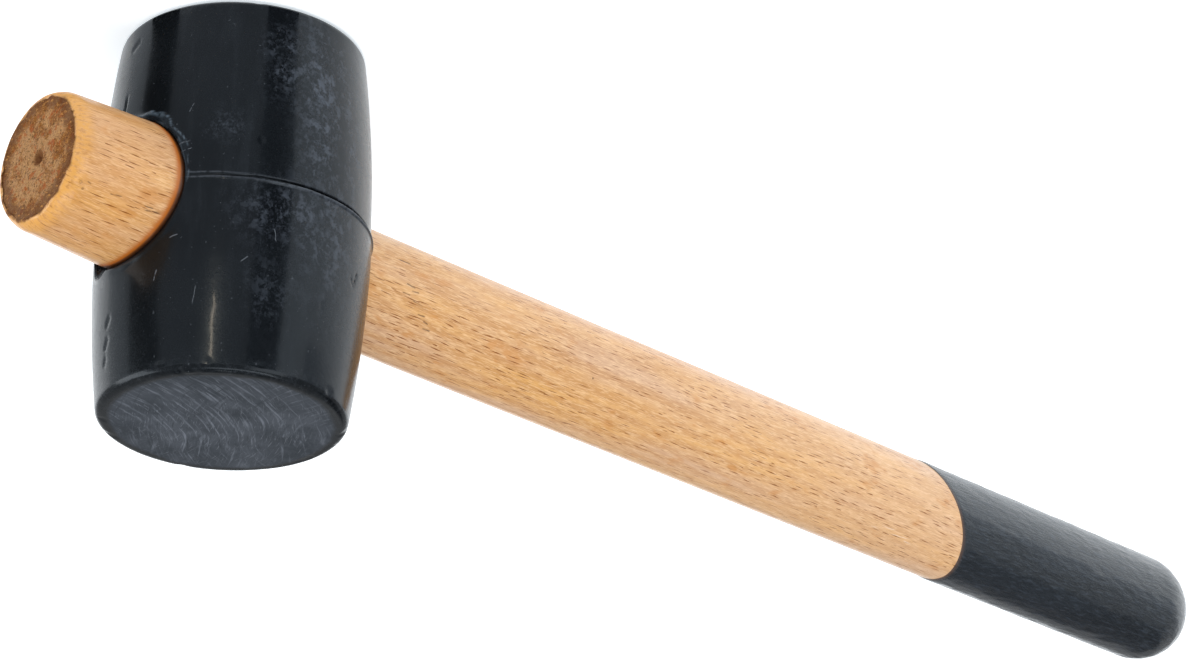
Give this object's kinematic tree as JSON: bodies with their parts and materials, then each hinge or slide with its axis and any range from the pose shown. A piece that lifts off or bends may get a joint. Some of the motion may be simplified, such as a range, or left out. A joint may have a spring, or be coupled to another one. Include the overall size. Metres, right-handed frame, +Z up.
{
  "type": "rubber mallet",
  "caption": "Barrel-shaped solid rubber head on an oval, swelled-end beech handle with a lacquer-dipped grip, for tapping paving, blocks and tiles into place.",
  "frame": {"origin": "centre of the lower striking face, on the surface the mallet stands on", "axes": "+Z up the head's axis to the upper striking face, +X along the handle and out of the top of the mallet, so the grip is at -X, +Y to the left seen from the grip towards the head"},
  "size_m": [0.3969, 0.0656, 0.096],
  "materials": {
    "head_rubber": "semi-gloss moulded sides, matt scuffed striking faces",
    "handle_beech": "clear-varnished beech, rough brown end grain at the top",
    "grip_lacquer": "satin black dip lacquer with the wood's grain showing through"
  },
  "bodies": {
    "root": {"head": "head_rubber", "handle": "handle_beech", "grip_lacquer": "grip_lacquer"}
  },
  "joints": []
}
